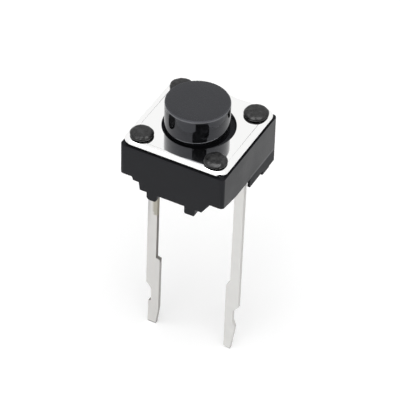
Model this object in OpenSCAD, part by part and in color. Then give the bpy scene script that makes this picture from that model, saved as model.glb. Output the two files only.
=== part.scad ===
// Tactile push button switch, 6 x 6 mm, two long snap-in leads.
// The origin is the centre of the plane where the feet meet the circuit board.
// X runs from one lead to the other, and the button is pressed along -Z.

/* [Housing] */
// Width and depth of the square housing
body_size = 6; // [5:0.1:7]
// Height of the cover's top face above the circuit board
body_h = 3.4; // [3.2:0.05:4]
// Thickness of the wall between the well and the middle of a side
wall_t = 0.7; // [0.6:0.02:0.85]
// Radius of the upright corners of the housing
body_corner_r = 0.22; // [0.1:0.02:0.3]
// Height of the dark groove under the cover
groove_h = 0.15; // [0.05:0.01:0.15]
// Depth of the dark groove under the cover
groove_depth = 0.12; // [0.06:0.01:0.18]

/* [Underside] */
// Height of the walls' lower edge above the board at the front
wall_z = 1.16; // [1.12:0.01:1.5]
// Height of the side walls' lower edge above the board beside the leads and behind them
wall_low_z = 0.92; // [0.8:0.02:1.1]
// Length over which that edge comes down from the front
wall_run = 1.5; // [0.8:0.1:2.5]
// Height of the middle boss above the board
boss_z = 0.46; // [0.36:0.02:0.7]
// Distance from the housing's side to the boss's lower face
boss_inset = 1.2; // [1:0.05:1.5]
// How far each end of the boss slopes outward on its way up
boss_slope = 0.47; // [0.4:0.01:0.6]
// Length of the level step in the boss's slope at -X
boss_step = 0.34; // [0.2:0.02:0.36]
// How far that step lies below the wall's lower edge
boss_step_drop = 0.21; // [0.1:0.01:0.3]
// Height of the two rear ledges above the board
ledge_z = 0.3; // [0.28:0.01:0.55]
// Height of the ledges' rear ends above the board
ledge_end_z = 0.12; // [0.08:0.01:0.26]
// Length of the ledges' rear ends
ledge_end = 0.6; // [0.3:0.05:0.7]
// Length of the pocket in the ledge's front, behind the lead
lead_pocket = 0.5; // [0.2:0.05:0.8]
// Thickness of the ledge's skin beside that pocket
pocket_skin = 0.15; // [0.1:0.01:0.17]
// Setback of a ledge from the side wall
ledge_setback = 0.02; // [0.01:0.01:0.2]
// Distance from the back of a ledge to the housing's rear face
ledge_rear = 0.04; // [0:0.02:0.2]
// Width of a foot
foot_w = 0.6; // [0.4:0.02:0.7]
// Length of a rear foot, along its ledge
rear_foot_len = 0.72; // [0.5:0.02:0.8]
// Distance from the end of the boss to the middle of a front foot
front_foot_inset = 0.7; // [0.5:0.05:0.9]
// Distance from the back of a ledge to the middle of a rear foot
rear_foot_inset = 0.98; // [0.8:0.02:1.2]
// Radius of the feet's lower edges
foot_r = 0.08; // [0.05:0.01:0.19]

/* [Staked posts] */
// Distance from the housing's side to the middle of a post
stake_inset = 0.83; // [0.73:0.01:0.88]
// Diameter of a post inside the cover's hole
stake_d = 0.86; // [0.7:0.02:0.9]
// Diameter of the melted head
head_d = 1.32; // [1.1:0.02:1.4]
// Height of the melted head above the cover
head_h = 0.4; // [0.3:0.02:0.5]
// Height of the lip round the head's foot
head_lip_h = 0.17; // [0.12:0.01:0.24]
// Setback of the head's crown from its lip
head_step = 0.06; // [0.02:0.01:0.1]

/* [Cover] */
// Thickness of the sheet
cover_t = 0.2; // [0.15:0.01:0.25]
// Radius of the cover's corners
cover_corner_r = 0.55; // [0.45:0.01:0.7]
// Width of the border that rolls down all round
border_w = 0.32; // [0.2:0.01:0.4]
// How far the border rolls down at its outer edge
border_drop = 0.12; // [0.04:0.01:0.14]
// Distance of the cover's edge inside the housing's face
cover_inset = 0.04; // [0:0.01:0.08]

/* [Button] */
// Height of the button's top above the board
button_top = 5; // [4.3:0.05:9]
// Radius of the button's upper edge
button_edge_r = 0.08; // [0.04:0.01:0.2]
// How far the flange reaches under the cover, all round
flange_lip = 0.235; // [0.15:0.005:0.3]
// Thickness of the flange
flange_t = 0.4; // [0.3:0.01:0.5]
// Width of the two lugs that stop the button turning
lug_w = 0.8; // [0.6:0.02:1]
// How far the lugs stand out of the flange
lug_out = 0.38; // [0.3:0.01:0.45]
// Diameter of the nub that presses the dome
nub_d = 1.3; // [1:0.05:1.6]
// Height of the nub
nub_h = 0.32; // [0.28:0.01:0.4]
// Width of the sloping edge round the nub's end
nub_edge = 0.1; // [0.05:0.01:0.15]
// How far the button travels
press_travel = 0.25; // [0.15:0.01:0.26]

/* [Contact dome] */
// Thickness of the dome's sheet
dome_t = 0.07; // [0.05:0.005:0.09]
// Height of the dome over its seat
dome_rise = 0.35; // [0.3:0.01:0.42]
// How much each of the dome's four sides is trimmed
dome_trim = 0.3; // [0.1:0.02:0.5]

/* [Terminals] */
// Distance from the housing's side to the middle of a lead
lead_inset = 0.47; // [0.4:0.01:0.6]
// Thickness of the sheet that the terminals are stamped from
lead_t = 0.25; // [0.2:0.01:0.3]
// Width of a lead's upper length
lead_w = 0.56; // [0.45:0.01:0.66]
// Length of a lead below the board's face
lead_len = 11.5; // [9:0.05:14]
// How far a lead widens inward at its knee
knee_out = 0.23; // [0.1:0.01:0.28]
// Width of the neck
neck_w = 0.47; // [0.4:0.01:0.54]
// How far the barb stands out of the neck
barb_out = 0.16; // [0.1:0.01:0.24]
// Height of the shoulder from the wide part into the neck
shoulder_len = 0.47; // [0.3:0.01:0.55]
// Diameter of the raised contact under the middle of the dome
pad_d = 1; // [0.8:0.05:1.2]
// Diameter of the raised contacts under the dome's rim
rim_pad_d = 0.6; // [0.5:0.02:0.7]
// Thickness of the moulding over the terminals' flat parts
buried = 0.15; // [0.1:0.01:0.2]

/* [Lead of the side terminal] */
// Distance from the tip up to the point of the barb
side_barb_up = 1.5; // [1.2:0.05:1.8]
// Height of the barb's slope
side_barb_slope = 0.06; // [0.04:0.01:0.2]
// Length of the neck above the barb
side_neck_len = 0.78; // [0.6:0.02:1.1]
// Length of the wide part
side_wide_len = 1.95; // [1.5:0.01:2.4]
// Height of the knee
side_knee = 0.07; // [0.05:0.01:0.3]
// Length of the slanted side of the tip
side_taper_len = 1.15; // [0.8:0.05:1.4]
// How much the side of the tip slants in
side_slant = 0.14; // [0.1:0.01:0.25]

/* [Lead of the centre terminal] */
// Distance from the tip up to the point of the barb
centre_barb_up = 1.7; // [1.4:0.05:2]
// Height of the barb's slope
centre_barb_slope = 0.42; // [0.2:0.01:0.5]
// Length of the neck above the barb
centre_neck_len = 0.7; // [0.5:0.02:0.9]
// Length of the wide part
centre_wide_len = 1.78; // [1.4:0.01:2.2]
// Height of the knee
centre_knee = 0.54; // [0.2:0.01:0.6]
// How much the side of the tip slants in
centre_slant = 0.24; // [0.1:0.01:0.3]
// How much shorter the inner side of the tip is
centre_tip_cut = 0.1; // [0.04:0.01:0.2]

/* [Fits] */
// Clearance round the button in the cover's hole
button_gap = 0.205; // [0.12:0.005:0.25]
// Clearance round the flange in the well
flange_clear = 0.15; // [0.1:0.01:0.2]
// Clearance between the cover and the button's flange
flange_gap = 0.03; // [0.01:0.01:0.05]
// Clearance round the dome in the well
dome_clear = 0.2; // [0.1:0.01:0.3]
// Clearance between the button's nub and the dome
nub_gap = 0.02; // [0.01:0.01:0.04]
// Clearance between a post and its hole in the cover, all round
stake_clear = 0.03; // [0.01:0.01:0.05]
// Clearance of the lugs in their slots
lug_clear = 0.06; // [0.04:0.01:0.08]

/* [Hidden] */
$fn = 96;

black_plastic = [0.12, 0.12, 0.13];
glossy_plastic = [0.07, 0.07, 0.08];
tin_plate = [0.9, 0.9, 0.89];
tinned_brass = [0.8, 0.8, 0.78];
spring_steel = [0.74, 0.74, 0.72];

half = body_size / 2;
// overlap that makes two solids of one piece fuse
weld = cover_t / 2;

// across the switch, from the housing's face inward
well_r = half - wall_t;
flange_r = well_r - flange_clear;
hole_r = flange_r - flange_lip;
button_r = hole_r - button_gap;
dome_r = well_r - dome_clear;
lug_reach = flange_r + lug_out;
stake_at = half - stake_inset;
lead_at = half - lead_inset;
boss_half = half - boss_inset;
cover_half = half - cover_inset;

// the edges of a lead, across the switch
lead_outer = lead_at + lead_w / 2;
lead_inner = lead_at - lead_w / 2;
wide_inner = lead_inner - knee_out;
neck_outer = wide_inner + neck_w;
barb_outer = neck_outer + barb_out;

// up and down, from the cover downward
cover_z = body_h - cover_t;
flange_z = cover_z - flange_gap - flange_t;
nub_z = flange_z - nub_h;
floor_z = nub_z - nub_gap - dome_rise;
strip_z = floor_z - buried - lead_t;
// the dome reaches the middle contact as the button reaches the end of its travel
pad_z = floor_z + dome_rise - dome_t - (press_travel - nub_gap);
slot_z = flange_z - press_travel - lug_clear;

// inside radius of the bend between a lead and its flat part, and where the flat part begins
bend_r = lead_t;
tab_y = lead_t / 2 + bend_r;
// the dome stands on its four corners, so the rim's contacts lie on the diagonals
rim_pad_at = (dome_r - rim_pad_d / 2) * cos(45);

// points along an arc, as [x, y]
function arc(cx, cy, rx, ry, from, to, steps) =
    [for (i = [0:steps]) let (a = from + (to - from) * i / steps) [cx + rx * cos(a), cy + ry * sin(a)]];

// points of a smooth step from p to q; it leaves p straight when lead_in is -90, slanting when it is 0
function step(p, q, lead_in) =
    let (low = sin(lead_in))
    [for (i = [0:8])
        let (t = i / 8, share = (sin(lead_in + (90 - lead_in) * t) - low) / (1 - low))
        [p[0] + (q[0] - p[0]) * share, p[1] + (q[1] - p[1]) * t]];

// one copy in each quarter
module at_corners(at) {
    for (x = [-1, 1], y = [-1, 1])
        translate([x * at, y * at, 0]) children();
}

// square with round corners, centred
module rounded_square(size, r) {
    square([size, size - 2 * r], center = true);
    square([size - 2 * r, size], center = true);
    at_corners(size / 2 - r) circle(r);
}

// a foot that stands on the board, centred on the Z axis, its lower edges round
module foot(top, depth) {
    w = foot_w / 2;
    translate([0, depth / 2, 0]) rotate([90, 0, 0]) linear_extrude(depth)
        polygon(concat(
            [[-w, top + weld]],
            arc(-w + foot_r, foot_r, foot_r, foot_r, 180, 270, 6),
            arc(w - foot_r, foot_r, foot_r, foot_r, 270, 360, 6),
            [[w, top + weld]]
        ));
}

// middle boss, with sloped ends, right through from front to back; the slope at -X has a step
module boss() {
    top = boss_half + boss_slope;
    slopes = boss_slope - boss_step;
    step_z = wall_z - boss_step_drop;
    step_at = boss_half + slopes / 2;
    translate([0, half, 0]) rotate([90, 0, 0]) linear_extrude(body_size)
        polygon([
            [-boss_half, boss_z],
            [-step_at, step_z],
            [-step_at - boss_step, step_z],
            [-top, wall_z],
            [-top, wall_z + weld],
            [top, wall_z + weld],
            [top, wall_z],
            [boss_half, boss_z]
        ]);
}

// a side wall's lower edge, which comes down from the front and then runs level
module wall_edge() {
    rotate([90, 0, 90]) linear_extrude(boss_inset)
        polygon([
            [-half, wall_z],
            [-half, wall_z + weld],
            [half, wall_z + weld],
            [half, wall_low_z],
            [-half + wall_run, wall_low_z]
        ]);
}

// the ledge behind a lead, from the boss out to its setback, with its pocket, lower end and foot
module ledge() {
    front = lead_t / 2;
    back = half - ledge_rear;
    out = half - ledge_setback;
    pocket_end = front + lead_pocket;
    translate([boss_half - weld, pocket_end, ledge_z])
        cube([out - boss_half + weld, back - pocket_end, wall_z - ledge_z]);
    translate([out - pocket_skin, front, ledge_z])
        cube([pocket_skin, lead_pocket + weld, wall_z - ledge_z]);
    translate([boss_half - weld, back - ledge_end, ledge_end_z])
        cube([out - boss_half + weld, ledge_end, wall_z - ledge_end_z]);
    translate([out - foot_w / 2, back - rear_foot_inset, 0]) foot(ledge_z, rear_foot_len);
}

// everything that stands below the walls
module underside() {
    boss();
    for (side = [0, 1]) mirror([side, 0, 0]) {
        translate([boss_half, 0, 0]) wall_edge();
        ledge();
        translate([boss_half - front_foot_inset, foot_w / 2 - half, 0]) foot(boss_z, foot_w);
    }
}

// post through the cover, with its melted head
module stake() {
    lip_r = head_d / 2;
    bulge = head_lip_h / 2;
    translate([0, 0, cover_z - weld]) cylinder(d = stake_d, h = cover_t + 2 * weld);
    translate([0, 0, body_h]) rotate_extrude()
        polygon(concat(
            [[0, 0], [lip_r - bulge, 0]],
            arc(lip_r - bulge, bulge, bulge, bulge, -60, 60, 6),
            arc(0, head_lip_h, lip_r - head_step, head_h - head_lip_h, 0, 80, 8),
            [[0, head_h]]
        ));
}

// the round well, with slots for the button's lugs
module well() {
    translate([0, 0, floor_z]) cylinder(r = well_r, h = cover_z - floor_z + weld);
    slot_w = lug_w + 2 * lug_clear;
    slot_reach = lug_reach + lug_clear;
    translate([-slot_w / 2, -slot_reach, slot_z]) cube([slot_w, 2 * slot_reach, cover_z + weld - slot_z]);
}

// the shallow groove all round, under the cover's edge
module groove() {
    translate([0, 0, cover_z - groove_h]) linear_extrude(groove_h + weld) difference() {
        square(body_size + 2 * weld, center = true);
        rounded_square(body_size - 2 * groove_depth, body_corner_r);
    }
}

module base_housing() {
    color(black_plastic) {
        difference() {
            intersection() {
                union() {
                    translate([-half, -half, wall_z]) cube([body_size, body_size, cover_z - wall_z]);
                    underside();
                }
                linear_extrude(cover_z) rounded_square(body_size, body_corner_r);
            }
            well();
            groove();
            terminal_metal(1);
            terminal_metal(-1);
        }
        at_corners(stake_at) stake();
    }
}

// section of the cover's border: flat as far as inward, then rolling down to the edge
module border_section(inward) {
    polygon(concat(
        [[-inward, 0], [border_w, 0]],
        arc(0, cover_t - border_drop, border_w, border_drop, 0, 90, 10),
        [[-inward, cover_t]]
    ));
}

module cover_plate() {
    flat = cover_half - border_w;
    straight = cover_half - cover_corner_r;
    turn = cover_corner_r - border_w;
    color(tin_plate) translate([0, 0, cover_z]) difference() {
        union() {
            translate([-flat, -straight, 0]) cube([2 * flat, 2 * straight, cover_t]);
            translate([-straight, -flat, 0]) cube([2 * straight, 2 * flat, cover_t]);
            for (a = [0, 90, 180, 270]) rotate(a) {
                translate([flat, straight, 0]) rotate([90, 0, 0])
                    linear_extrude(2 * straight) border_section(turn);
                translate([straight, straight, 0]) rotate_extrude(angle = 90)
                    translate([turn, 0]) border_section(turn);
            }
        }
        translate([0, 0, -weld]) cylinder(r = hole_r, h = cover_t + 2 * weld);
        at_corners(stake_at) translate([0, 0, -weld])
            cylinder(d = stake_d + 2 * stake_clear, h = cover_t + 2 * weld);
    }
}

module plunger() {
    nub_r = nub_d / 2;
    edge_at = button_r - button_edge_r;
    color(glossy_plastic) {
        rotate_extrude()
            polygon(concat(
                [[0, nub_z], [nub_r - nub_edge, nub_z], [nub_r, nub_z + nub_edge], [nub_r, flange_z]],
                [[flange_r, flange_z], [flange_r, flange_z + flange_t], [button_r, flange_z + flange_t]],
                arc(edge_at, button_top - button_edge_r, button_edge_r, button_edge_r, 0, 90, 8),
                [[0, button_top]]
            ));
        translate([-lug_w / 2, -lug_reach, flange_z]) cube([lug_w, 2 * lug_reach, flange_t]);
    }
}

// spherical cap, trimmed on four sides, that snaps through when it is pressed
module contact_dome() {
    ball_r = (dome_r * dome_r + dome_rise * dome_rise) / (2 * dome_rise);
    flat_to_flat = 2 * (dome_r - dome_trim);
    color(spring_steel) translate([0, 0, floor_z]) intersection() {
        translate([0, 0, dome_rise - ball_r]) difference() {
            sphere(ball_r);
            sphere(ball_r - dome_t);
        }
        cylinder(r = dome_r, h = dome_rise);
        translate([0, 0, dome_rise / 2]) cube([flat_to_flat, flat_to_flat, dome_rise], center = true);
    }
}

// outline of the side terminal's lead, seen from the front and drawn on the +X side
module side_lead(top) {
    barb_z = side_barb_up - lead_len;
    neck_low = barb_z + side_barb_slope;
    neck_top = neck_low + side_neck_len;
    wide_low = neck_top + shoulder_len;
    wide_top = wide_low + side_wide_len;
    polygon(concat(
        [[lead_inner, top], [lead_outer, top]],
        step([lead_outer, wide_low], [neck_outer, neck_top], 0),
        [[neck_outer, neck_low], [barb_outer, barb_z], [barb_outer, -lead_len]],
        [[wide_inner + side_slant, -lead_len], [wide_inner, side_taper_len - lead_len]],
        [[wide_inner, wide_top - side_knee], [lead_inner, wide_top]]
    ));
}

// outline of the centre terminal's lead, with rounded steps and a narrower tip
module centre_lead(top) {
    barb_z = centre_barb_up - lead_len;
    neck_low = barb_z + centre_barb_slope;
    neck_top = neck_low + centre_neck_len;
    wide_low = neck_top + shoulder_len;
    wide_top = wide_low + centre_wide_len;
    polygon(concat(
        [[lead_inner, top], [lead_outer, top]],
        step([lead_outer, wide_low], [neck_outer, neck_top], -90),
        [[neck_outer, neck_low], [barb_outer, barb_z], [barb_outer - centre_slant, -lead_len]],
        [[wide_inner, centre_tip_cut - lead_len]],
        step([wide_inner, wide_top - centre_knee], [lead_inner, wide_top], -90)
    ));
}

// lead, bend and tab, which both terminals share; side is 1 for +X and -1 for -X
module lead(side) {
    low = strip_z - bend_r;
    mirror([side < 0 ? 1 : 0, 0, 0]) {
        translate([0, lead_t / 2, 0]) rotate([90, 0, 0]) linear_extrude(lead_t) {
            if (side > 0) centre_lead(low);
            if (side < 0) side_lead(low);
        }
        translate([lead_inner, 0, 0]) rotate([90, 0, 90]) linear_extrude(lead_w)
            polygon(concat(
                arc(tab_y, low, bend_r + lead_t, bend_r + lead_t, 180, 90, 8),
                arc(tab_y, low, bend_r, bend_r, 90, 180, 8)
            ));
        translate([lead_inner, tab_y, strip_z]) cube([lead_w, lead_w, lead_t]);
    }
}

// arm from the +X tab to the middle, with the raised contact under the dome's crown
module centre_arm() {
    translate([0, tab_y, 0]) cube([lead_at, lead_w, lead_t]);
    translate([-lead_w / 2, 0, 0]) cube([lead_w, tab_y + lead_w, lead_t]);
    cylinder(d = pad_d, h = pad_z - strip_z);
}

// arm from the -X tab along the rim, with two raised contacts under the dome's corners
module side_arm() {
    reach = rim_pad_at + rim_pad_d / 2;
    translate([-lead_at, tab_y, 0]) cube([lead_at - rim_pad_at, lead_w, lead_t]);
    translate([-rim_pad_at - lead_w / 2, -reach, 0]) cube([lead_w, 2 * reach, lead_t]);
    for (y = [-1, 1])
        translate([-rim_pad_at, y * rim_pad_at, 0]) cylinder(d = rim_pad_d, h = floor_z - strip_z);
}

module terminal_metal(side) {
    lead(side);
    translate([0, 0, strip_z]) {
        if (side > 0) centre_arm();
        if (side < 0) side_arm();
    }
}

module centre_terminal() {
    color(tinned_brass) terminal_metal(1);
}

module side_terminal() {
    color(tinned_brass) terminal_metal(-1);
}

base_housing();
cover_plate();
plunger();
contact_dome();
centre_terminal();
side_terminal();
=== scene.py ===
# %% [markdown]
# # A tactile push button switch
# The object is a 6 mm push button for circuit boards. A black moulded housing holds a snap
# dome and a round button. A tinned cover lies on top, and four posts of the housing are melted
# over it like rivets. Two long stamped leads snap into the board.
# The solid model fixes every size and every moving part. This file gives it its looks, one
# piece at a time, and each cell prints what it made.

import math

import bmesh
import bpy
from mathutils import Matrix, Vector, noise


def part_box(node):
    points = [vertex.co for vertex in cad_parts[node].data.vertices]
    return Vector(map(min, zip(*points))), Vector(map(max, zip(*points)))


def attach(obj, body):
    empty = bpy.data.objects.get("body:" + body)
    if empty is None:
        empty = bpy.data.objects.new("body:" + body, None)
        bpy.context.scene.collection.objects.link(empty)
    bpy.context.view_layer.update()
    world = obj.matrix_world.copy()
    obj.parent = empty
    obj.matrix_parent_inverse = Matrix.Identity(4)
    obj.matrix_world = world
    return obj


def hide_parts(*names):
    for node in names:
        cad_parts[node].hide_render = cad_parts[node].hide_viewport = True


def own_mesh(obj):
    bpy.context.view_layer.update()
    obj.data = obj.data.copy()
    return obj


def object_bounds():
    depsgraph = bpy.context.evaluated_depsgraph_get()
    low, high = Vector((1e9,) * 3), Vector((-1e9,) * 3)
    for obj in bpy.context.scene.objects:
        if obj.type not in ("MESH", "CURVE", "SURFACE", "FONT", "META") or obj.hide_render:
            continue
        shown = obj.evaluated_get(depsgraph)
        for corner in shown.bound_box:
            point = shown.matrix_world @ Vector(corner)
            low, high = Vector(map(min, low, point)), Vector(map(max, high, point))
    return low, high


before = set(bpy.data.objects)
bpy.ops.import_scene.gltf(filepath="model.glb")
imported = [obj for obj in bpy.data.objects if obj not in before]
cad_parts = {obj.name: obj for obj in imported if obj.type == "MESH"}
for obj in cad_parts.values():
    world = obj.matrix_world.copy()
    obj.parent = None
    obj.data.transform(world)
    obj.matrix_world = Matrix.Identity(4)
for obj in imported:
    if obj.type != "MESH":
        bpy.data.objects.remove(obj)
solid_low, solid_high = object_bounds()
for name in sorted(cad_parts):
    low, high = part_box(name)
    print(f"{name:16s} {', '.join(f'{1000 * v:6.2f}' for v in (*low, *high))} mm")

# %% [markdown]
# ## Camera
# The switch was photographed from close by with a long lens, so its upright edges lean
# together only a little. Fitting the corners of the housing, the round top of the button and
# the ends of the leads to a pinhole camera gave the angles and the distance below. A camera
# could also be placed by eye, but a fitted one lets every edge be compared with the photograph.

# %% Place the camera
AZIMUTH, ELEVATION, ROLL = (math.radians(angle) for angle in (27.081, 41.483, 1.649))
CAMERA_DISTANCE = 0.150
LENS_MM = 256.73
SENSOR_MM = 36.0
CLIP_NEAR, CLIP_FAR = 0.005, 10.0
AIM = Vector((0.0, 0.0, -0.00209))
AIM_RIGHT, AIM_UP = 0.000158, 0.000239

to_camera = Vector(
    (
        math.sin(AZIMUTH) * math.cos(ELEVATION),
        -math.cos(AZIMUTH) * math.cos(ELEVATION),
        math.sin(ELEVATION),
    )
)
level_right = Vector((math.cos(AZIMUTH), math.sin(AZIMUTH), 0.0))
level_up = to_camera.cross(level_right)
camera_right = math.cos(ROLL) * level_right + math.sin(ROLL) * level_up
camera_up = math.cos(ROLL) * level_up - math.sin(ROLL) * level_right

camera_data = bpy.data.cameras.new("camera")
camera_data.lens = LENS_MM
camera_data.sensor_width = SENSOR_MM
camera_data.clip_start = CLIP_NEAR
camera_data.clip_end = CLIP_FAR
camera = bpy.data.objects.new("camera", camera_data)
aim_point = AIM + AIM_RIGHT * camera_right + AIM_UP * camera_up
turn = Matrix((camera_right, camera_up, to_camera)).transposed().to_4x4()
camera.matrix_world = Matrix.Translation(aim_point + CAMERA_DISTANCE * to_camera) @ turn
bpy.context.scene.collection.objects.link(camera)
bpy.context.scene.camera = camera
bpy.context.scene.view_settings.view_transform = "Standard"
print("camera at", [round(1000 * v, 1) for v in camera.matrix_world.translation], "mm")

# %% [markdown]
# ## Helpers for shader nodes
# A material is a small network of nodes. These helpers keep the later cells short: one adds a
# node and fills its sockets, a few make masks, one starts an empty material, and one starts a
# node group with named sockets. Groups are made for effects that several materials share, so
# that each material only has to give its own values.


# %% Define the node helpers
def add_node(tree, kind, values=None, **settings):
    """Adds a node; values fills its inputs by name or number, with constants or with sockets."""
    node = tree.nodes.new("ShaderNode" + kind)
    for key, setting in settings.items():
        setattr(node, key, setting)
    for key, value in (values or {}).items():
        if isinstance(value, bpy.types.NodeSocket):
            tree.links.new(value, node.inputs[key])
        else:
            node.inputs[key].default_value = value
    return node


def math_node(tree, operation, first, second=0.0, clamp=False):
    """One arithmetic step; returns its result socket."""
    node = add_node(tree, "Math", {0: first, 1: second}, operation=operation, use_clamp=clamp)
    return node.outputs[0]


def blend_colours(tree, share, first, second):
    """Mixes two colours by a share from 0 to 1; inputs 6 and 7 and output 2 are colours."""
    node = add_node(tree, "Mix", {0: share, 6: first, 7: second}, data_type="RGBA")
    return node.outputs[2]


def new_group(name, inputs, outputs):
    """A node group; inputs maps a name to its default, outputs lists names of plain numbers."""
    group = bpy.data.node_groups.new(name, "ShaderNodeTree")
    for label, default in inputs.items():
        socket = group.interface.new_socket(label, in_out="INPUT", socket_type="NodeSocketFloat")
        socket.default_value = default
    for label in outputs:
        group.interface.new_socket(label, in_out="OUTPUT", socket_type="NodeSocketFloat")
    return group, group.nodes.new("NodeGroupInput"), group.nodes.new("NodeGroupOutput")


def new_material(name):
    """An empty material with its shader and output already joined."""
    material = bpy.data.materials.new(name)
    material.use_nodes = True
    tree = material.node_tree
    tree.nodes.clear()
    shader = add_node(tree, "BsdfPrincipled")
    add_node(tree, "OutputMaterial", {"Surface": shader.outputs["BSDF"]})
    return material, tree, shader


print("node helpers ready")

# %% [markdown]
# A mask is a number that is 1 where a finish is wanted and 0 elsewhere. Nearly all of them
# here come from where a point lies on the piece and which way its surface faces, and each has
# a pair of values: where it starts and where it ends. In their names, X, Y and Z stand for a
# place in millimetres, and NX and NZ for how far the surface faces along X or Z. A painted
# picture could hold the masks too, but it would need the mesh laid out flat first.


# %% Define the masks
def above(tree, value, low, high):
    """0 below low, 1 above high, with a smooth run between them."""
    node = add_node(
        tree,
        "MapRange",
        {"Value": value, "From Min": low, "From Max": high},
        interpolation_type="SMOOTHSTEP",
    )
    return node.outputs["Result"]


def below(tree, value, low, high):
    """1 below low, 0 above high, with a smooth run between them."""
    return math_node(tree, "SUBTRACT", 1.0, above(tree, value, low, high))


def overlap(tree, first, *others):
    """1 only where all the given masks are 1."""
    for other in others:
        first = math_node(tree, "MULTIPLY", first, other)
    return first


def millimetres(tree):
    """The object's own coordinates, in millimetres."""
    place = add_node(tree, "TexCoord").outputs["Object"]
    scaled = add_node(tree, "VectorMath", {0: place, "Scale": 1000.0}, operation="SCALE")
    return scaled.outputs[0]


def axes_of(tree, vector):
    """The X, Y and Z of a vector."""
    return add_node(tree, "SeparateXYZ", {0: vector}).outputs


def facing_axes(tree):
    """How far the surface faces along X, Y and Z, each from -1 to 1."""
    return axes_of(tree, add_node(tree, "TexCoord").outputs["Normal"])


def cloudy(tree, place, scale, detail, roughness=0.5):
    """Cloudy noise that wavers round 0.5; scale is the number of clouds per millimetre."""
    values = {"Vector": place, "Scale": scale, "Detail": detail, "Roughness": roughness}
    return add_node(tree, "TexNoise", values).outputs["Fac"]


print("masks ready")

# %% [markdown]
# ## The surround
# The photograph was taken on white, inside a bright and even surround. Black plastic and tin
# plate show little colour of their own: what the eye sees on them is mostly that white
# surround. A room of white walls could be built, but a white world does the same from every
# side. It is white to the camera and in reflections, and weaker as a light.

# %% Make the world
SURROUND_LIGHT = 0.36
WHITE = (1.0, 1.0, 1.0, 1.0)


def seen_directly(tree):
    """1 for rays from the camera and for reflected or transmitted rays, 0 for light itself."""
    path = add_node(tree, "LightPath")
    seen = math_node(tree, "MAXIMUM", path.outputs["Is Camera Ray"], path.outputs["Is Glossy Ray"])
    return math_node(tree, "MAXIMUM", seen, path.outputs["Is Transmission Ray"])


world = bpy.data.worlds.new("white_surround")
world.use_nodes = True
tree = world.node_tree
tree.nodes.clear()
strength = math_node(tree, "MULTIPLY", seen_directly(tree), 1.0 - SURROUND_LIGHT)
strength = math_node(tree, "ADD", strength, SURROUND_LIGHT)
background = add_node(tree, "Background", {"Color": WHITE, "Strength": strength})
add_node(tree, "OutputWorld", {"Surface": background.outputs[0]})
bpy.context.scene.world = world
print("world light", SURROUND_LIGHT)

# %% [markdown]
# The lamps are broad, so that the shadow on the floor is soft. One hangs overhead and a weaker
# one stands at the left, and reflections leave both out. The third is round and does the
# opposite: it is seen only in reflections, where it draws the fine bright line along the
# button's rim and the pale crescents on the melted heads. Many small lamps would give the same
# brightness, but they would dot the tin cover.


# %% Hang the lamps
def soft_lamp(name, place, size, watts, shape="SQUARE"):
    """A softbox that faces the switch."""
    data = bpy.data.lights.new(name, "AREA")
    data.shape = shape
    data.size = size
    data.energy = watts
    lamp = bpy.data.objects.new(name, data)
    place = Vector(place)
    turn = place.to_track_quat("Z", "Y").to_matrix().to_4x4()
    lamp.matrix_world = Matrix.Translation(place) @ turn
    bpy.context.scene.collection.objects.link(lamp)
    print(name, "at", [round(v, 2) for v in place], "m,", watts, "W")
    return lamp


overhead_lamp = soft_lamp("overhead_softbox", (0.04, -0.09, 0.26), size=0.26, watts=0.62)
overhead_lamp.visible_glossy = False
side_lamp = soft_lamp("side_softbox", (-0.26, -0.16, 0.16), size=0.16, watts=0.16)
side_lamp.visible_glossy = False
rim_lamp = soft_lamp("round_softbox", (0.02, -0.04, 0.26), size=0.34, watts=1.3, shape="DISK")
rim_lamp.visible_diffuse = False

# %% [markdown]
# The floor lies at the tips of the leads. Its white comes from its own colour and from a
# little light that only the camera and reflections see, so the soft shadow stays and the
# lamps need not be stronger. A round disc has no corner that another view could show.

# %% Lay the floor
FLOOR_Z = solid_low.z
FLOOR_RADIUS = 3.0
FLOOR_SEGMENTS = 96
FLOOR_GREY = 0.82
FLOOR_LIFT = 0.30
MATTE = 0.9


def matte_paint(name, grey):
    """A grey paint without any sheen."""
    material, tree, shader = new_material(name)
    shader.inputs["Base Color"].default_value = (grey, grey, grey, 1.0)
    shader.inputs["Roughness"].default_value = MATTE
    shader.inputs["Specular IOR Level"].default_value = 0.0
    return material, tree, shader


def stage_object(name, sheet, material):
    """Makes an object of a sheet that is drawn in metres."""
    data = bpy.data.meshes.new(name)
    sheet.to_mesh(data)
    sheet.free()
    data.materials.append(material)
    item = bpy.data.objects.new(name, data)
    bpy.context.scene.collection.objects.link(item)
    return item


floor_material, tree, shader = matte_paint("white_paper", FLOOR_GREY)
shader.inputs["Emission Color"].default_value = WHITE
lift = math_node(tree, "MULTIPLY", seen_directly(tree), FLOOR_LIFT)
tree.links.new(lift, shader.inputs["Emission Strength"])

sheet = bmesh.new()
bmesh.ops.create_circle(sheet, cap_ends=True, segments=FLOOR_SEGMENTS, radius=FLOOR_RADIUS)
bmesh.ops.translate(sheet, vec=(0, 0, FLOOR_Z), verts=sheet.verts)
floor = stage_object("floor", sheet, floor_material)
print("floor at", round(1000 * FLOOR_Z, 2), "mm")

# %% [markdown]
# Glossy black mirrors whatever stands round it, and the photograph shows one dark patch on the
# button's side. A patch painted there would show from every side, so a black card is mirrored
# instead. It lies on the floor before the switch and rises, a little wider, behind the lens.
# Only reflections see it, so it stands in no view and takes no light away.

# %% Set up the black card
CARD_FROM, CARD_FLOOR_FROM, CARD_TO = 11.6, 22.0, 62.0
CARD_NEAR, CARD_FAR, CARD_TOP = 0.010, 0.120, 0.125
CARD_LIFT = 0.0002
CARD_Z = FLOOR_Z + CARD_LIFT
CARD_STEPS = 24
CARD_GREY = 0.01


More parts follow.
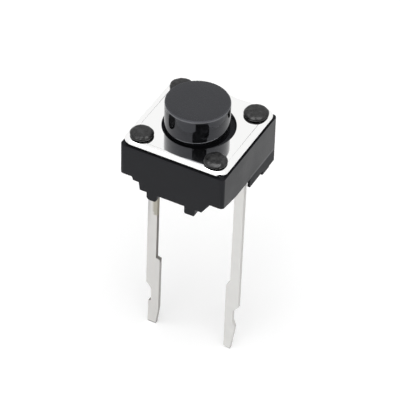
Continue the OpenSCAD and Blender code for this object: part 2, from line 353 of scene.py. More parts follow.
def card_strip(sheet, start, rows):
    """Bends one strip of the card round the switch, from the start angle on."""
    columns = []
    for step in range(CARD_STEPS + 1):
        turn = math.radians(start + (CARD_TO - start) * step / CARD_STEPS)
        places = [(r * math.sin(turn), -r * math.cos(turn), height) for r, height in rows]
        columns.append([sheet.verts.new(place) for place in places])
    for left, right in zip(columns, columns[1:]):
        sheet.faces.new((left[0], right[0], right[1], left[1]))


card_material, *_ = matte_paint("card_black", CARD_GREY)
sheet = bmesh.new()
card_strip(sheet, CARD_FLOOR_FROM, ((CARD_NEAR, CARD_Z), (CARD_FAR, CARD_Z)))
card_strip(sheet, CARD_FROM, ((CARD_FAR, CARD_Z), (CARD_FAR, CARD_TOP)))
card = stage_object("black_card", sheet, card_material)
card.visible_camera = False
card.visible_diffuse = False
card.visible_shadow = False
card.visible_transmission = False
print("black card over", CARD_TO - CARD_FROM, "degrees")

# %% [markdown]
# ## Finishes that are shared
# Two effects occur in several materials, and each is a node group. The first is that of
# moulded plastic: a very fine grain from the eroded steel mould, and a slow change of tone
# where the melt flowed. It is worked out in the object's own coordinates, in millimetres, so
# that the pattern stays on the part when it moves.

# %% Build the moulded grain group
CLOUD_EDGES = (0.3, 0.7)

moulded_grain, start, end = new_group(
    "moulded_grain", {"Grains per mm": 14.0, "Clouds per mm": 0.6}, ["Height", "Cloud"]
)
tree = moulded_grain
place = millimetres(tree)
grain = cloudy(tree, place, start.outputs["Grains per mm"], detail=3.0, roughness=0.6)
cloud = cloudy(tree, place, start.outputs["Clouds per mm"], detail=2.0)
tree.links.new(grain, end.inputs["Height"])
tree.links.new(above(tree, cloud, *CLOUD_EDGES), end.inputs["Cloud"])
print("group", moulded_grain.name)

# %% [markdown]
# The second effect is that of stamped sheet metal: fine lines from rolling, a cloudy tin coat,
# and sheared edges. The lines are noise that is drawn out along the sheet. The group finds the
# sheared edges by the way they face: they stand across the rolled faces, which point up on the
# cover and to the front and back on the leads. Painting the edges by hand would give the same
# mask, but for one piece only.

# %% Build the rolled sheet group
ROLLED_FACE = (0.08, 0.3)

rolled_sheet, start, end = new_group(
    "rolled_sheet",
    {"Lines per mm": 16.0, "Line length": 12.0, "Clouds per mm": 1.2, "Upright sheet": 0.0},
    ["Height", "Cloud", "Cut edge"],
)
tree = rolled_sheet
place = millimetres(tree)
along = axes_of(tree, place)
short = math_node(tree, "DIVIDE", along["Z"], start.outputs["Line length"])
stretched = add_node(tree, "CombineXYZ", {"X": along["X"], "Y": along["Y"], "Z": short})
lines = cloudy(tree, stretched.outputs[0], start.outputs["Lines per mm"], detail=2.0)
cloud = cloudy(tree, place, start.outputs["Clouds per mm"], detail=3.0)

facing = facing_axes(tree)
flat_face = math_node(tree, "ABSOLUTE", facing["Z"])
upright_face = math_node(tree, "ABSOLUTE", facing["Y"])
change = math_node(tree, "SUBTRACT", upright_face, flat_face)
change = math_node(tree, "MULTIPLY", change, start.outputs["Upright sheet"])
rolled_face = math_node(tree, "ADD", flat_face, change)

tree.links.new(lines, end.inputs["Height"])
tree.links.new(above(tree, cloud, *CLOUD_EDGES), end.inputs["Cloud"])
tree.links.new(below(tree, rolled_face, *ROLLED_FACE), end.inputs["Cut edge"])
print("group", rolled_sheet.name)

# %% [markdown]
# ## The plastics
# The housing, its melted posts and the button are all black, yet they read as three greys in
# the photograph, because each one mirrors the white surround to another degree. The housing
# is satin, the top of the button is satin too, and the button's side is polished. A darker or
# lighter paint could fake the three greys, but only gloss gives them from every side. So one
# function makes a black moulding, and a second one changes its gloss or colour inside a mask.

# %% Define the black plastic
COOL = (0.88, 0.90, 1.0)
NEUTRAL = (1.0, 1.0, 1.0)
DARK_SHARE = 0.7


def black_plastic(name, colour, tint, ior, roughness, spread, grain_depth, grains, clouds):
    """A black moulding; its slow clouds vary the gloss by spread, and tint colours its sheen."""
    material, tree, shader = new_material(name)
    values = {"Grains per mm": grains, "Clouds per mm": clouds}
    skin = add_node(tree, "Group", values, node_tree=moulded_grain)
    darker = tuple(DARK_SHARE * c for c in colour) + (1.0,)
    tone = blend_colours(tree, skin.outputs["Cloud"], darker, colour + (1.0,))
    tree.links.new(tone, shader.inputs["Base Color"])
    varied = math_node(tree, "MULTIPLY", skin.outputs["Cloud"], spread)
    rough = math_node(tree, "ADD", varied, roughness)
    tree.links.new(rough, shader.inputs["Roughness"])
    relief = {"Height": skin.outputs["Height"], "Distance": grain_depth, "Strength": 1.0}
    bump = add_node(tree, "Bump", relief)
    tree.links.new(bump.outputs["Normal"], shader.inputs["Normal"])
    shader.inputs["IOR"].default_value = ior
    shader.inputs["Specular Tint"].default_value = tint + (1.0,)
    return material, tree, shader


def refinish(tree, shader, mask, rougher=None, colour=None, cover=1.0):
    """Inside the mask, adds to the roughness and covers a share of the base colour."""
    if rougher is not None:
        plain = shader.inputs["Roughness"].links[0].from_socket
        extra = math_node(tree, "MULTIPLY", mask, rougher)
        rough = math_node(tree, "ADD", plain, extra, clamp=True)
        tree.links.new(rough, shader.inputs["Roughness"])
    if colour is not None:
        plain = shader.inputs["Base Color"].links[0].from_socket
        share = math_node(tree, "MULTIPLY", mask, cover)
        toned = blend_colours(tree, share, plain, colour + (1.0,))
        tree.links.new(toned, shader.inputs["Base Color"])


print("black plastic ready")

# %% [markdown]
# The housing's walls are satin. The groove under its cover, its rear ledges and its upright
# edges are duller, because those parts of a mould are never polished. The groove is also
# darkened with painted shade, the upright edges are lightened with a painted sheen, and a
# painted highlight runs along the side walls just over the ledges, on the wall's lower edge.
# Each of them could be a piece with a material of its own, but a seam would show between them.

# %% Make the housing's plastic
GROOVE_Z = (3.03, 3.06)
LEDGE_Z = (0.88, 0.94)
LINE_FROM_Z, LINE_TO_Z = (0.90, 0.94), (1.03, 1.10)
BEHIND_LEAD_Y = (0.05, 0.12)
SIDE_WALL_NX = (0.5, 0.8)
CORNER_NX_NY = (0.06, 0.30)

housing_black, tree, shader = black_plastic(
    "housing_black",
    colour=(0.0046, 0.0048, 0.0056),
    tint=COOL,
    ior=1.30,
    roughness=0.30,
    spread=0.08,
    grain_depth=0.0000040,
    grains=9.0,
    clouds=0.6,
)
along = axes_of(tree, millimetres(tree))
facing = facing_axes(tree)
# painted shade: the groove under the cover gets a darker colour, besides more roughness
groove_shade = above(tree, along["Z"], *GROOVE_Z)
refinish(tree, shader, groove_shade, rougher=0.6, colour=(0.0012, 0.0012, 0.0014))

behind_lead = above(tree, along["Y"], *BEHIND_LEAD_Y)
on_ledge = overlap(tree, below(tree, along["Z"], *LEDGE_Z), behind_lead)
refinish(tree, shader, on_ledge, rougher=0.22)

# painted highlight: a pale line on the lower edge of the side walls, over the ledges
side_wall = above(tree, math_node(tree, "ABSOLUTE", facing["X"]), *SIDE_WALL_NX)
over_ledge = above(tree, along["Z"], *LINE_FROM_Z)
under_wall = below(tree, along["Z"], *LINE_TO_Z)
ledge_highlight = overlap(tree, under_wall, over_ledge, behind_lead, side_wall)
refinish(tree, shader, ledge_highlight, colour=(0.055, 0.056, 0.060), cover=0.8)

# painted sheen: the upright edges get a paler colour, besides more roughness
corner = math_node(tree, "ABSOLUTE", math_node(tree, "MULTIPLY", facing["X"], facing["Y"]))
corner_sheen = above(tree, corner, *CORNER_NX_NY)
refinish(tree, shader, corner_sheen, rougher=0.35, colour=(0.020, 0.0205, 0.0225))
print("plastic:", housing_black.name)

# %% [markdown]
# The melted posts cooled without a mould, so their skin is coarse: dull pits lie on the
# crowns among pale flecks, which are painted glints where small dents would catch the light.
# The side that curls in over the cover is dull, and darkened with painted shade. The glints
# could come from real dents, but at a tenth of a millimetre a change of colour and gloss is
# enough.

# %% Make the melted plastic
NEAR_COVER_Z = (3.45, 3.49)
ON_HEAD_Z = (3.52, 3.56)
PITS_PER_MM = 4.5
PALE_FLECK, DULL_PIT = (0.46, 0.62), (0.34, 0.46)

melted_black, tree, shader = black_plastic(
    "melted_black",
    colour=(0.0020, 0.0020, 0.0021),
    tint=NEUTRAL,
    ior=1.41,
    roughness=0.25,
    spread=0.18,
    grain_depth=0.0000200,
    grains=3.2,
    clouds=2.6,
)
place = millimetres(tree)
along = axes_of(tree, place)
# painted shade: the side that curls in over the cover gets a darker colour, and more roughness
shade_near_cover = below(tree, along["Z"], *NEAR_COVER_Z)
refinish(tree, shader, shade_near_cover, rougher=0.7, colour=(0.0008, 0.0008, 0.0008))

on_head = above(tree, along["Z"], *ON_HEAD_Z)
pits = cloudy(tree, place, PITS_PER_MM, detail=3.0)
# painted glints: pale flecks on the crowns, where small dents would catch the light
fleck_glints = overlap(tree, above(tree, pits, *PALE_FLECK), on_head)
dull = overlap(tree, below(tree, pits, *DULL_PIT), on_head)
refinish(tree, shader, fleck_glints, colour=(0.020, 0.020, 0.0205), cover=0.8)
refinish(tree, shader, dull, rougher=0.35)
print("plastic:", melted_black.name)

# %% [markdown]
# The button's side is polished like a mirror, while its top was left satin and a little
# mottled. Between them the rim carries a painted highlight, a paler band all round, and the
# flange below was never polished and is darkened with painted shade, where it lies in the gap
# under the cover. Four materials with borders could do this, but on one turned shape soft masks
# are simpler: how level the surface is tells the top, its shoulder and the rim apart.

# %% Make the button's plastic
TOP_NZ, SHOULDER_NZ = (0.97, 0.995), (0.62, 0.78)
RIM_FROM_NZ, RIM_TO_NZ = (0.02, 0.14), (0.55, 0.80)
RIM_Z = (4.765, 4.845)
FLANGE_TOP_Z = (3.19, 3.22)
MOTTLES_PER_MM = 7.0

button_black, tree, shader = black_plastic(
    "button_black",
    colour=(0.0050, 0.0052, 0.0058),
    tint=COOL,
    ior=1.54,
    roughness=0.04,
    spread=0.03,
    grain_depth=0.0000005,
    grains=16.0,
    clouds=0.8,
)
place = millimetres(tree)
along = axes_of(tree, place)
level = facing_axes(tree)["Z"]
on_top = above(tree, level, *TOP_NZ)
refinish(tree, shader, on_top, rougher=0.08, colour=(0.0012, 0.0012, 0.0014))
shoulder = math_node(tree, "SUBTRACT", above(tree, level, *SHOULDER_NZ), on_top)
refinish(tree, shader, shoulder, rougher=0.60)
mottle = overlap(tree, on_top, cloudy(tree, place, MOTTLES_PER_MM, detail=4.0))
refinish(tree, shader, mottle, rougher=0.24)

# painted shade: the flange in the gap under the cover gets a darker colour, and more roughness
flange_shade = below(tree, along["Z"], *FLANGE_TOP_Z)
refinish(tree, shader, flange_shade, rougher=0.85, colour=(0.0010, 0.0010, 0.0011))

# painted highlight: a paler band all round the rim
slanting = overlap(tree, above(tree, level, *RIM_FROM_NZ), below(tree, level, *RIM_TO_NZ))
rim_highlight = overlap(tree, slanting, above(tree, along["Z"], *RIM_Z))
refinish(tree, shader, rim_highlight, rougher=0.25, colour=(0.128, 0.130, 0.137), cover=0.9)
print("plastic:", button_black.name)

# %% [markdown]
# ## The metals
# All the metal parts are stamped from tinned or spring steel sheet, so one function makes
# them: it takes the rolled sheet group and darkens the edges, where the punch tore the bare
# metal. Plain grey with a little gloss would pass from afar, but metal needs a full Metallic
# value to mirror the surround in its own colour.

# %% Define the sheet metal
PALE_SHARE = 1.05
ROUGH_SPREAD = 0.3
TORN_ROUGH = 0.25


def sheet_metal(name, colour, cut_colour, roughness, line_depth, lines, clouds, upright=0.0):
    """Tinned sheet with rolling lines, a cloudy coat and darker sheared edges."""
    material, tree, shader = new_material(name)
    values = {"Lines per mm": lines, "Clouds per mm": clouds, "Upright sheet": upright}
    skin = add_node(tree, "Group", values, node_tree=rolled_sheet)
    paler = tuple(min(1.0, PALE_SHARE * c) for c in colour) + (1.0,)
    tone = blend_colours(tree, skin.outputs["Cloud"], colour + (1.0,), paler)
    tone = blend_colours(tree, skin.outputs["Cut edge"], tone, cut_colour + (1.0,))
    tree.links.new(tone, shader.inputs["Base Color"])
    varied = math_node(tree, "MULTIPLY", skin.outputs["Cloud"], ROUGH_SPREAD * roughness)
    torn = math_node(tree, "MULTIPLY", skin.outputs["Cut edge"], TORN_ROUGH)
    rough = math_node(tree, "ADD", math_node(tree, "ADD", varied, roughness), torn)
    tree.links.new(rough, shader.inputs["Roughness"])
    relief = {"Height": skin.outputs["Height"], "Distance": line_depth, "Strength": 1.0}
    bump = add_node(tree, "Bump", relief)
    tree.links.new(bump.outputs["Normal"], shader.inputs["Normal"])
    shader.inputs["Metallic"].default_value = 1.0
    return material, tree, shader


print("sheet metal ready")

# %% [markdown]
# The leads are dull tin, with fine rolling lines down their length, and their last tenth of a
# millimetre is painted darker. The one at -X differs a little: its edges are
# torn darker, a trace of brown shows near its top, its outer half lies in the housing's shade,
# and below the knee its cut face is bright. Masks by height and side set these apart without
# another piece.

# %% Make the leads' metals
TIP_Z = (-11.46, -11.40)
STAIN_Z, STAIN_X = (-3.30, -3.00), (-2.60, -2.42)
STAINS_PER_MM = 3.0
SHADE_Z, SHADE_X = (-5.5, -2.8), (-2.80, -2.56)
CUT_FACE_NX = (0.3, 0.6)
KNEE_Z = (-7.1, -6.9)


def darker_tip(tree, shader):
    """Darkens the last 0.1 mm of a lead."""
    low = below(tree, axes_of(tree, millimetres(tree))["Z"], *TIP_Z)
    # the last 0.1 mm of the lead is painted darker
    refinish(tree, shader, low, colour=(0.24, 0.24, 0.235), cover=0.8)


lead_tin, tree, shader = sheet_metal(
    "lead_tin",
    colour=(0.65, 0.645, 0.63),
    cut_colour=(0.58, 0.575, 0.56),
    roughness=0.32,
    line_depth=0.0000012,
    lines=16.0,
    clouds=1.2,
    upright=1.0,
)
darker_tip(tree, shader)

torn_tin, tree, shader = sheet_metal(
    "torn_tin",
    colour=(0.61, 0.60, 0.585),
    cut_colour=(0.22, 0.21, 0.20),
    roughness=0.34,
    line_depth=0.0000014,
    lines=15.0,
    clouds=1.4,
    upright=1.0,
)
place = millimetres(tree)
along = axes_of(tree, place)
in_shade = overlap(tree, above(tree, along["Z"], *SHADE_Z), below(tree, along["X"], *SHADE_X))
refinish(tree, shader, in_shade, colour=(0.42, 0.42, 0.42), cover=0.7)

blot = cloudy(tree, place, STAINS_PER_MM, detail=2.0)
near_top = above(tree, math_node(tree, "ADD", along["Z"], blot), *STAIN_Z)
stain = overlap(tree, near_top, above(tree, along["X"], *STAIN_X))
refinish(tree, shader, stain, colour=(0.34, 0.32, 0.26), cover=0.8)

cut_face = above(tree, facing_axes(tree)["X"], *CUT_FACE_NX)
bright_cut = overlap(tree, cut_face, below(tree, along["Z"], *KNEE_Z))
refinish(tree, shader, bright_cut, colour=(0.55, 0.545, 0.53), cover=0.6)
darker_tip(tree, shader)
print("metals:", lead_tin.name, torn_tin.name)

# %% [markdown]
# The cover is bright tin plate and mirrors the button, so it is nearly smooth. The punch
# smeared the tin down over its border, and only the lowest edge is bare steel, darkened to near
# black with painted shade for the dark line under the border and in the holes. The dome
# is rolled spring steel. A plain mirror would do for the cover, were its slow clouds not what
# tells tin plate from chrome.

# %% Make the cover's and the dome's metals
SMEARED_Z = (3.20, 3.23)

dome_steel, *_ = sheet_metal(
    "dome_steel",
    colour=(0.62, 0.61, 0.58),
    cut_colour=(0.40, 0.39, 0.37),
    roughness=0.20,
    line_depth=0.0000006,
    lines=20.0,
    clouds=0.9,
)
cover_tin, tree, shader = sheet_metal(
    "cover_tin",
    colour=(0.93, 0.93, 0.925),
    # the cut edge's near black is bare steel, darkened further with painted shade
    cut_colour=(0.05, 0.048, 0.045),
    roughness=0.05,
    line_depth=0.0000002,
    lines=4.0,
    clouds=0.5,
)
smeared = above(tree, axes_of(tree, millimetres(tree))["Z"], *SMEARED_Z)
refinish(tree, shader, smeared, colour=(0.93, 0.93, 0.925))
print("metals:", dome_steel.name, cover_tin.name)

# %% [markdown]
# ## Helpers for meshes
# The heads, the cover, the button and the dome are turned or stamped, and rings of corners
# that are joined by quads make all of them. Such rings could come from Blender's spin or screw
# tools, but a few lines of script keep every radius and height in view as a named value.


# %% Define the rings
def ring_of(mesh, points):
    """Adds a ring of corners."""
    return [mesh.verts.new(point) for point in points]


def join_rings(mesh, first, second):
    """Quads between two rings of the same number of corners."""
    count = len(first)
    for i in range(count):
        j = (i + 1) % count
        mesh.faces.new((first[i], first[j], second[j], second[i]))


def join_all(mesh, rings):
    """Joins each ring to the next one."""
    for lower, upper in zip(rings, rings[1:]):
        join_rings(mesh, lower, upper)


def circle_points(radius, z, segments, centre=(0.0, 0.0)):
    """Points round a circle, counter-clockwise as seen from above."""
    turns = (2 * math.pi * i / segments for i in range(segments))
    return [
        (centre[0] + radius * math.cos(turn), centre[1] + radius * math.sin(turn), z)
        for turn in turns
    ]


def arc_points(centre, radii, start, end, steps):
    """Points of (radius, height) along an arc of a profile."""
    for i in range(steps + 1):
        turn = math.radians(start + (end - start) * i / steps)
        yield centre[0] + radii[0] * math.cos(turn), centre[1] + radii[1] * math.sin(turn)


def lathe(mesh, profile, segments):
    """Turns a profile of (radius, height) points round the upright axis and closes both ends."""
    rings = [ring_of(mesh, circle_points(r, z, segments)) for r, z in profile[1:-1]]
    join_all(mesh, rings)
    for (r, z), ring, flip in ((profile[0], rings[0], True), (profile[-1], rings[-1], False)):
        tip = mesh.verts.new((0.0, 0.0, z))
        for i in range(segments):
            j = (i + 1) % segments
            corners = (ring[j], ring[i], tip) if flip else (ring[i], ring[j], tip)
            mesh.faces.new(corners)


print("ring helpers ready")

# %% [markdown]
# Every real edge has a small radius that catches the light, and Blender's bevel makes it. The
# parts are only a few millimetres large, though, and the bevel is coarse at that scale. So
# every mesh is drawn in millimetres, rounded, and shrunk to metres at the end. Weighted
# normals keep the flat faces flat beside the rounded edges.

# %% Define how a piece is finished
MM = 0.001
BEVEL_SEGMENTS = 2
BEVEL_FROM = 35.0
SHARP_FROM = 50.0


def round_edges(piece, width):
    """Bevels every edge that turns by more than BEVEL_FROM degrees."""
    rounding = piece.modifiers.new("rounding", "BEVEL")
    rounding.width = width
    rounding.segments = BEVEL_SEGMENTS
    rounding.limit_method = "ANGLE"
    rounding.angle_limit = math.radians(BEVEL_FROM)
    shown = piece.evaluated_get(bpy.context.evaluated_depsgraph_get())
    plain, rounded = piece.data, bpy.data.meshes.new_from_object(shown)
    piece.modifiers.clear()
    piece.data = rounded
    bpy.data.meshes.remove(plain)
    rounded.name = piece.name


def shade_piece(piece):
    """Smooth shading, broken at edges over SHARP_FROM degrees and at those marked before."""
    marked = [edge.index for edge in piece.data.edges if edge.use_edge_sharp]
    piece.data.shade_smooth()
    piece.data.set_sharp_from_angle(angle=math.radians(SHARP_FROM))
    for index in marked:
        piece.data.edges[index].use_edge_sharp = True
    flatten = piece.modifiers.new("flat_faces", "WEIGHTED_NORMAL")
    flatten.keep_sharp = True


def finish_piece(name, mesh, material, body, nodes, bevel=0.0):
    """Rounds, shrinks and shades a mesh drawn in millimetres, and fixes it to its body."""
    bmesh.ops.recalc_face_normals(mesh, faces=mesh.faces)
    data = bpy.data.meshes.new(name)
    mesh.to_mesh(data)
    mesh.free()
    piece = bpy.data.objects.new(name, data)
    bpy.context.scene.collection.objects.link(piece)
    if bevel:
        round_edges(piece, bevel)
    piece.data.transform(Matrix.Scale(MM, 4))
    shade_piece(piece)
    piece.data.materials.clear()
    piece.data.materials.append(material)
    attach(piece, body)
    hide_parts(*nodes)
    print(f"{name}: {len(piece.data.polygons)} faces, {len(piece.data.vertices)} corners")
    return piece


print("finishing helpers ready")

# %% [markdown]
# ## The housing
# One block of black plastic with a round well, a stepped underside and four feet. It could be
# built again from blocks and cuts, but the solid model already has this shape exactly, so the
# piece starts from a copy of it. The copy gets what a real moulding has and the solid lacks:
# a fine radius on every edge, which catches the light. The melted heads are cut off here,
# inside the thickness of the cover, because they get a softer shape of their own.

# %% Copy the housing
WELD = 0.0005
FLAT_WITHIN = 1.0
CUT_Z = 3.30


def solid_copy(node):
    """The fixed solid's own mesh in millimetres, with its flat faces whole again."""
    mesh = bmesh.new()
    mesh.from_mesh(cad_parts[node].data)
    bmesh.ops.scale(mesh, vec=(1 / MM,) * 3, verts=mesh.verts)
    bmesh.ops.remove_doubles(mesh, verts=mesh.verts, dist=WELD)
    bmesh.ops.dissolve_limit(
        mesh, angle_limit=math.radians(FLAT_WITHIN), verts=mesh.verts, edges=mesh.edges
    )
    return mesh


mesh = solid_copy("base_housing")
cut = bmesh.ops.bisect_plane(
    mesh,
    geom=mesh.verts[:] + mesh.edges[:] + mesh.faces[:],
    plane_co=(0, 0, CUT_Z),
    plane_no=(0, 0, 1),
    clear_outer=True,
)
rim = [item for item in cut["geom_cut"] if isinstance(item, bmesh.types.BMEdge)]
bmesh.ops.holes_fill(mesh, edges=rim)
print("housing cut at", CUT_Z, "mm:", len(mesh.faces), "faces")

# %% [markdown]
# The front foot at -X is worn rounder than the others. Its two long edges are quarter circles
# in the solid, so each is spread onto a larger circle, which gives the worn radius without a
# new cut.

# %% Wear the foot and finish the housing
FRONT_FOOT_X = 1.10
FOOT_W = 0.60
FOOT_R = 0.08
WORN_FOOT_R = 0.20
NEAR_FOOT = 0.5
CLOSE = 0.001
HOUSING_BEVEL = 0.03

worn = WORN_FOOT_R / FOOT_R
for corner in mesh.verts:
    from_foot = corner.co.x + FRONT_FOOT_X
    into_edge = abs(from_foot) - (FOOT_W / 2 - FOOT_R)
    on_foot = corner.co.y < 0 and corner.co.z < FOOT_R + CLOSE and abs(from_foot) < NEAR_FOOT
    if on_foot and into_edge > -CLOSE:
        reach = FOOT_W / 2 - WORN_FOOT_R + into_edge * worn
        corner.co.x = math.copysign(reach, from_foot) - FRONT_FOOT_X
        corner.co.z = WORN_FOOT_R - (FOOT_R - corner.co.z) * worn
finish_piece(
    "housing",
    mesh,
    housing_black,
    "switch_body",
    ["base_housing"],
    bevel=HOUSING_BEVEL,
)

# %% [markdown]
# ## The melted heads
# A hot tool presses each post down over the cover until it spreads into a low puck: a flat
# crown, a soft shoulder that the tool's edge left, and a bulging side that curls in again just
# over the cover. The cover mirrors it, so that each head looks twice as high as it is. A
# turned profile gives the form.

# %% Draw a head's profile
BODY_H = 3.40
POST_R = 0.43
HEAD_H = 0.25
HEAD_GAP = 0.02
SIDE_H = 0.175
SIDE_BULGE = 0.09
SIDE_FROM, SIDE_TO, SIDE_STEPS = -86, 58, 12
SHOULDER_STEPS = ((0.065, 0.046), (0.09, 0.030), (0.13, 0.014), (0.18, 0.004))
SHOULDER_W = 0.2
CROWN_RINGS = (0.95, 0.72, 0.5, 0.28, 0.0)


def head_profile(head_r):
    """Profile of a head from inside the cover's hole to the top of its crown."""
    half_side = SIDE_H / 2
    yield 0.0, CUT_Z
    yield POST_R, CUT_Z
    yield POST_R, BODY_H + HEAD_GAP
    side = (head_r - SIDE_BULGE, BODY_H + HEAD_GAP + half_side)
    yield from arc_points(side, (SIDE_BULGE, half_side), SIDE_FROM, SIDE_TO, SIDE_STEPS)
    for inset, drop in SHOULDER_STEPS:
        yield head_r - inset, BODY_H + HEAD_H - drop
    for share in CROWN_RINGS:
        yield share * (head_r - SHOULDER_W), BODY_H + HEAD_H


print("head profile of", len(list(head_profile(1.0))), "points")

# %% [markdown]
# In the photograph no head is the twin of another, so each has its own width and height and
# sits a little off its post. Noise makes the crowns uneven, as melting leaves them. Sculpting
# would do it too, but noise gives the same heads each time the file runs.

# %% Model the heads
POST_AT = 2.17
HEAD_SEGMENTS = 64
NOISE_SHIFT = (5.0, 3.0)
SLOW_WAVES, FAST_WAVES = 2.2, 6.0
HEIGHT_WAVER, HEIGHT_RIPPLE, WIDTH_WAVER = 0.10, 0.06, 0.05
# side in X and in Y, radius, share of the height, and shift in X and in Y
HEADS = (
    (-1, -1, 0.625, 1.00, 0.00, 0.00),
    (1, -1, 0.630, 1.04, -0.05, -0.03),
    (1, 1, 0.665, 0.96, 0.00, 0.00),
    (-1, 1, 0.640, 1.02, -0.02, 0.00),
)


def one_head(side_x, side_y, head_r, squeeze, off_x, off_y):
    """A melted head on its post, as a mesh of its own."""
    head = bmesh.new()
    lathe(head, list(head_profile(head_r)), HEAD_SEGMENTS)
    for corner in head.verts:
        height = corner.co.z - BODY_H
        if height > HEAD_GAP - CLOSE:
            shift = Vector((NOISE_SHIFT[0] * side_x, NOISE_SHIFT[1] * side_y, 0.0))
            waver = noise.noise((corner.co + shift) * SLOW_WAVES)
            ripple = noise.noise((corner.co + shift) * FAST_WAVES)
            swell = 1.0 + HEIGHT_WAVER * waver + HEIGHT_RIPPLE * ripple
            corner.co.z = BODY_H + height * squeeze * swell
            corner.co.x = off_x + corner.co.x * (1.0 + WIDTH_WAVER * waver)
            corner.co.y = off_y + corner.co.y * (1.0 + WIDTH_WAVER * waver)
    bmesh.ops.translate(head, vec=(POST_AT * side_x, POST_AT * side_y, 0.0), verts=head.verts)
    part = bpy.data.meshes.new("one_head")
    head.to_mesh(part)
    head.free()
    return part


mesh = bmesh.new()
for row in HEADS:
    part = one_head(*row)
    mesh.from_mesh(part)
    bpy.data.meshes.remove(part)
finish_piece(
    "staked_heads", mesh, melted_black, "switch_body", ["base_housing"]
)

# %% [markdown]
# ## The cover
# A square of tin plate, 0.2 mm thick. Its border is rolled down all round, its corners
# are rounder than the housing's, and five holes are punched in it. Cutting the holes with a
# boolean would leave the big face ragged, and a mirror shows that at once. So the
# holes are rings from the start: rings make the rolled border and each hole's lip, and one
# flat fill closes the face between them.

# %% Draw the cover's border
COVER_Z = 3.20
COVER_HALF = 2.96
CORNER_R = 0.55
CORNER_STEPS = 12
BORDER_W = 0.32
BORDER_DROP = 0.12
BORDER_STEPS = 10
CUT_EDGE = 0.012


def rounded_square(half, radius, z):
    """Points round a square with round corners."""
    points = []
    for quarter, (x, y) in enumerate(((1, 1), (-1, 1), (-1, -1), (1, -1))):
        for i in range(CORNER_STEPS + 1):
            turn = math.radians(90 * quarter + 90 * i / CORNER_STEPS)
            along_x = x * (half - radius) + radius * math.cos(turn)
            along_y = y * (half - radius) + radius * math.sin(turn)
            points.append((along_x, along_y, z))
    return points


mesh = bmesh.new()
border = [(CUT_EDGE, COVER_Z), (0.0, COVER_Z + CUT_EDGE)]
border += arc_points(
    (BORDER_W, BODY_H - BORDER_DROP), (-BORDER_W, BORDER_DROP), 0, 90, BORDER_STEPS
)
rings = [ring_of(mesh, rounded_square(COVER_HALF - d, CORNER_R - d, z)) for d, z in border]
join_all(mesh, rings)
top_loops, bottom_loops = [rings[-1]], [rings[0]]
print("border of", len(rings), "rings")

# %% [markdown]
# The five holes are made in the same way, each with a lip that the punch drew in. The two
# flat faces are filled at the end, and their outlines are marked sharp, so that the
# mirror stays flat right up to the rolled border and the lips.

# %% Punch the holes and fill the faces
HOLE_R = 1.915
POST_HOLE_R = 0.46
LIP_R = 0.035
LIP_STEPS = 4
TORN_W, TORN_H = 0.01, 0.03
HOLE_SEGMENTS, POST_HOLE_SEGMENTS = 128, 48


def ring_edges(mesh, ring):
    """The edges that join a ring's corners, made where they are missing."""
    pairs = zip(ring, ring[1:] + ring[:1])
    return [mesh.edges.get(pair) or mesh.edges.new(pair) for pair in pairs]


holes = [((0.0, 0.0), HOLE_R, HOLE_SEGMENTS)]
for x in (-1, 1):
    for y in (-1, 1):
        holes.append(((POST_AT * x, POST_AT * y), POST_HOLE_R, POST_HOLE_SEGMENTS))
for centre, radius, segments in holes:
    wall = [(radius + TORN_W, COVER_Z), (radius, COVER_Z + TORN_H)]
    wall += arc_points((radius + LIP_R, BODY_H - LIP_R), (LIP_R, LIP_R), 180, 90, LIP_STEPS)
    loops = [ring_of(mesh, circle_points(r, z, segments, centre)) for r, z in wall]
    join_all(mesh, loops)
    bottom_loops.append(loops[0])
    top_loops.append(loops[-1])
for loops in (top_loops, bottom_loops):
    edges = [edge for loop in loops for edge in ring_edges(mesh, loop)]
    bmesh.ops.triangle_fill(mesh, use_beauty=True, use_dissolve=False, edges=edges)
    for edge in edges:
        edge.smooth = False
finish_piece("cover", mesh, cover_tin, "switch_body", ["cover_plate"])

# %% [markdown]
# ## The button
# A plain round stem with a flange that keeps it under the cover, two lugs that stop it from
# turning, and a nub that meets the dome. A turned profile is the natural way to draw
# it. The fine radius round its top carries the bright line that the photograph shows. The
# button is loose in its hole and rests a little to one side of it, within that play.

# %% Turn the button
BUTTON_R = 1.71
BUTTON_TOP = 4.965
EDGE_R = 0.10
EDGE_STEPS = 8
TOP_RING_R = 1.0
FLANGE_R = 2.15
FLANGE_Z = 2.77
FLANGE_T = 0.40
FLANGE_EDGE = 0.03
NUB_R = 0.65
NUB_Z = 2.45
NUB_EDGE = 0.10
BUTTON_SEGMENTS = 160

profile = [
    (0.0, NUB_Z),
    (NUB_R - NUB_EDGE, NUB_Z),
    (NUB_R, NUB_Z + NUB_EDGE),
    (NUB_R, FLANGE_Z),
    (FLANGE_R - FLANGE_EDGE, FLANGE_Z),
    (FLANGE_R, FLANGE_Z + FLANGE_EDGE),
    (FLANGE_R, FLANGE_Z + FLANGE_T - FLANGE_EDGE),
    (FLANGE_R - FLANGE_EDGE, FLANGE_Z + FLANGE_T),
    (BUTTON_R, FLANGE_Z + FLANGE_T),
]
profile += arc_points(
    (BUTTON_R - EDGE_R, BUTTON_TOP - EDGE_R), (EDGE_R, EDGE_R), 0, 90, EDGE_STEPS
)
profile += [(TOP_RING_R, BUTTON_TOP), (0.0, BUTTON_TOP)]
mesh = bmesh.new()
lathe(mesh, profile, BUTTON_SEGMENTS)
print("button of", len(profile), "rings")

# %% [markdown]
# The lugs are plain blocks that reach into the flange, a hair thinner than it so that no two
# faces lie in one plane. A boolean could join them, but the joint lies inside the plastic,
# where it is never seen.

# %% Add the lugs and finish the button
LUG_W = 0.80
LUG_REACH = 2.53
LUG_INSET = 0.12
LUG_THIN = 0.98
PLAY = (-0.085, -0.05, 0.0)

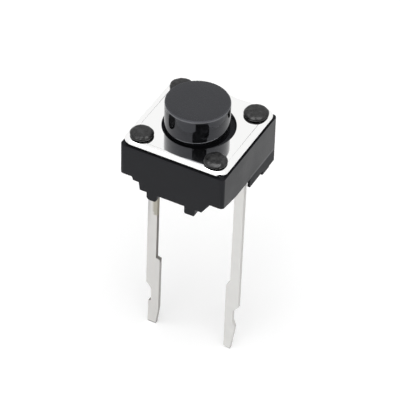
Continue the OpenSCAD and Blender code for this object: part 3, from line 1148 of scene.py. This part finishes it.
for side in (-1, 1):
    lug = bmesh.ops.create_cube(mesh, size=1.0)["verts"]
    for corner in lug:
        inner = corner.co.y * side < 0
        corner.co.x *= LUG_W
        corner.co.y = side * (FLANGE_R - LUG_INSET if inner else LUG_REACH)
        corner.co.z = FLANGE_Z + FLANGE_T * (0.5 + LUG_THIN * corner.co.z)
bmesh.ops.translate(mesh, vec=PLAY, verts=mesh.verts)
finish_piece("button", mesh, button_black, "button", ["plunger"])

# %% [markdown]
# ## The contact dome
# A thin cap of spring steel, trimmed on four sides so that it stands on four legs. It snaps
# through when the button comes down. It is drawn as a round grid that follows a sphere, with
# its rings pulled in to the four straight sides, and is thickened at the end. Thickening adds
# the faces of the rim in a chance order, so they are sorted, and every run gives the same
# piece.

# %% Model the dome
DOME_R = 2.1
DOME_RISE = 0.35
DOME_T = 0.07
DOME_FLAT = 1.8
DOME_FLOOR = 2.08
DOME_RINGS = 14
DOME_SEGMENTS = 96


def place_in_list(face):
    """A number of its own for each face, from the two first corners that it has."""
    first, second = sorted(corner.index for corner in face.verts)[:2]
    return first * len(mesh.verts) + second


ball_r = (DOME_R**2 + DOME_RISE**2) / (2 * DOME_RISE)
ball_z = DOME_FLOOR + DOME_RISE - ball_r
mesh = bmesh.new()
tip = mesh.verts.new((0, 0, ball_z + ball_r))
rings = []
for step in range(1, DOME_RINGS + 1):
    ring = []
    for i in range(DOME_SEGMENTS):
        turn = 2 * math.pi * i / DOME_SEGMENTS
        reach = min(DOME_R, DOME_FLAT / max(abs(math.cos(turn)), abs(math.sin(turn))))
        r = reach * step / DOME_RINGS
        z = ball_z + math.sqrt(ball_r**2 - r**2)
        ring.append(mesh.verts.new((r * math.cos(turn), r * math.sin(turn), z)))
    rings.append(ring)
for i in range(DOME_SEGMENTS):
    mesh.faces.new((rings[0][i], rings[0][(i + 1) % DOME_SEGMENTS], tip))
for lower, upper in zip(rings[1:], rings):
    join_rings(mesh, lower, upper)
bmesh.ops.recalc_face_normals(mesh, faces=mesh.faces)
if tip.normal.z < 0:
    bmesh.ops.reverse_faces(mesh, faces=mesh.faces)
bmesh.ops.solidify(mesh, geom=mesh.faces[:], thickness=DOME_T)
mesh.verts.index_update()
mesh.faces.sort(key=place_in_list)
dome = finish_piece("dome", mesh, dome_steel, "switch_body", ["contact_dome"])
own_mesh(dome)

# %% [markdown]
# ## The terminals
# Each terminal is one strip of stamped sheet: a contact inside the moulding, a bend, and a
# long lead with a knee and a barb that hold it in the board. The solids have these outlines
# exactly, so the pieces are copies with the small radius that stamping leaves on every edge.
# Handling has bent both leads by up to a quarter of a millimetre: the one at -X forward, and
# the one at +X towards the middle.

# %% Model the terminals
LEAD_LEN = 11.5
STAMPED_BEVEL = 0.018
# height, shift in X and shift in Y, from the top down
PLUS_X_BEND = ((1.0, 0, 0), (0.3, -0.06, 0), (-LEAD_LEN - 1, -0.12, 0))
MINUS_X_BEND = ((1.0, 0, 0), (0, 0, 0), (-LEAD_LEN - 1, -0.03, -0.24))


def bent_copy(node, bend):
    """A copy of a terminal, moved sideways in steps that run into each other."""
    mesh = solid_copy(node)
    for corner in mesh.verts:
        for (top, *near), (low, *far) in zip(bend, bend[1:]):
            if low <= corner.co.z < top:
                share = (top - corner.co.z) / (top - low)
                corner.co.x += near[0] + share * (far[0] - near[0])
                corner.co.y += near[1] + share * (far[1] - near[1])
                break
    return mesh


finish_piece(
    "lead_plus_x",
    bent_copy("centre_terminal", PLUS_X_BEND),
    lead_tin,
    "switch_body",
    ["centre_terminal"],
    bevel=STAMPED_BEVEL,
)
finish_piece(
    "lead_minus_x",
    bent_copy("side_terminal", MINUS_X_BEND),
    torn_tin,
    "switch_body",
    ["side_terminal"],
    bevel=STAMPED_BEVEL,
)
